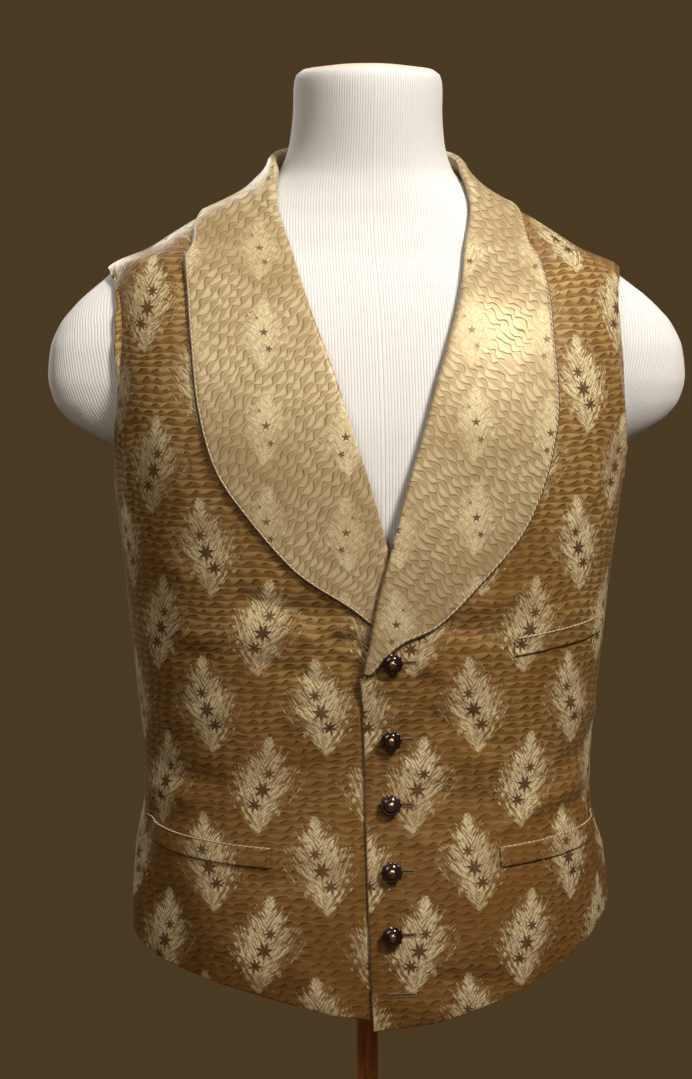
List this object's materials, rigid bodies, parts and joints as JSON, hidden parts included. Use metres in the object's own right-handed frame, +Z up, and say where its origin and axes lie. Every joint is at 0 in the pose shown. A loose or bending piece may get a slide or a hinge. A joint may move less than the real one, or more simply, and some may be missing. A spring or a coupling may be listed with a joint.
{
  "type": "waistcoat on a dress form",
  "caption": "Shawl-collared waistcoat of figured golden-brown silk with dark domed buttons and welt pockets, worn by a limbless white dress form on a wooden pole and round base.",
  "frame": {"origin": "middle of the base's underside, on the floor under the pole", "axes": "+Z up along the pole, +X to the wearer's left, -Y to the front with the buttons"},
  "size_m": [0.455, 0.34, 0.958],
  "materials": {
    "figured_silk": "woven silk with fine wavy bands, cream sprigs and small dark star flowers, satin sheen",
    "collar_silk": "the same figured silk cut on the bias, edged with a thin dark and light cord",
    "glazed_cotton": "plain tan cotton with a slight glaze",
    "dark_button": "blackened, polished, with a lobed rim and a bright middle knob",
    "white_knit": "fine ribbed white jersey stretched over the form",
    "varnished_wood": "orange-brown, varnished"
  },
  "bodies": {
    "root": {"front_right": "figured_silk", "front_left": "figured_silk", "back": "glazed_cotton", "collar_right": "collar_silk", "collar_left": "collar_silk", "welt_breast_left": "figured_silk", "welt_lower_right": "figured_silk", "welt_lower_left": "figured_silk", "button_1": "dark_button", "button_2": "dark_button", "button_3": "dark_button", "button_4": "dark_button", "button_5": "dark_button", "form": "white_knit", "pole": "varnished_wood", "base": "varnished_wood"}
  },
  "joints": []
}
